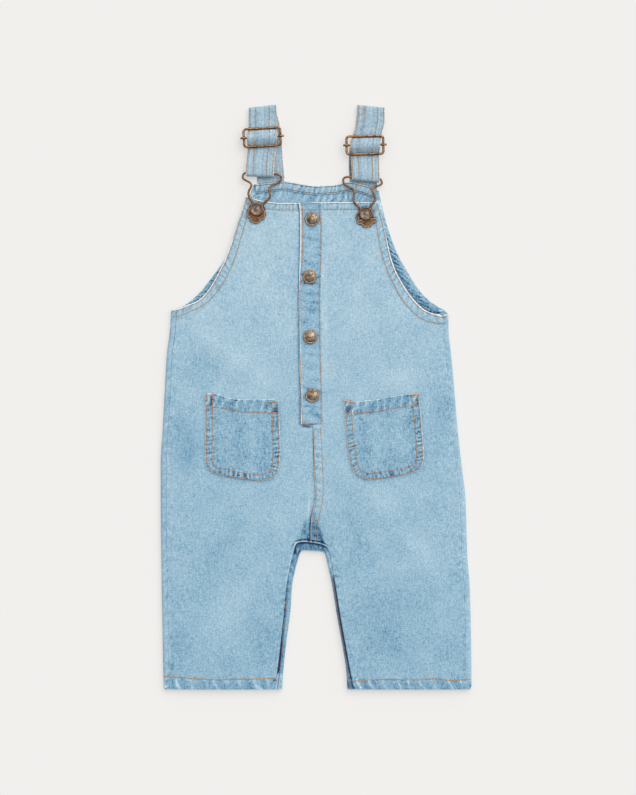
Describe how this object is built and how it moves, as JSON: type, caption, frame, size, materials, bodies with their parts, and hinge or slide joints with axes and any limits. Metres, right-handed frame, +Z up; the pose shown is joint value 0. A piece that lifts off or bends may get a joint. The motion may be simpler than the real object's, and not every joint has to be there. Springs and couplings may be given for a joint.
{
  "type": "kids dungarees",
  "caption": "Child's denim dungarees laid flat: bib front with snap placket, patch pockets, wide straight legs, and folded straps with slide buckles and wire clips.",
  "frame": {"origin": "on the surface that the garment lies on, under the middle of its outline", "axes": "+Z up out of the surface, towards the front of the garment; +Y from the leg hems towards the shoulders; +X towards the garment's own left side"},
  "size_m": [0.28, 0.527, 0.0104],
  "materials": {
    "denim": "washed light blue denim twill",
    "pocket_denim": "washed denim twill, a little darker",
    "inside_denim": "inner side of denim, darker in the garment's shade",
    "antique_brass": "antique copper-brown plating, worn brighter on the rims"
  },
  "bodies": {
    "root": {"front_left": "denim", "front_right": "denim", "back_left": "denim", "back_right": "denim", "placket": "denim", "strap_left": "denim", "strap_right": "denim", "pocket_left": "pocket_denim", "pocket_right": "pocket_denim", "armhole_facing_left": "inside_denim", "armhole_facing_right": "inside_denim", "back_top_facing": "inside_denim", "buckle_frame_left": "antique_brass", "slide_bar_left": "antique_brass", "wire_clip_left": "antique_brass", "clip_plate_left": "antique_brass", "bib_button_left": "antique_brass", "buckle_frame_right": "antique_brass", "slide_bar_right": "antique_brass", "wire_clip_right": "antique_brass", "clip_plate_right": "antique_brass", "bib_button_right": "antique_brass", "snap_1": "antique_brass", "snap_2": "antique_brass", "snap_3": "antique_brass", "snap_4": "antique_brass"}
  },
  "joints": []
}
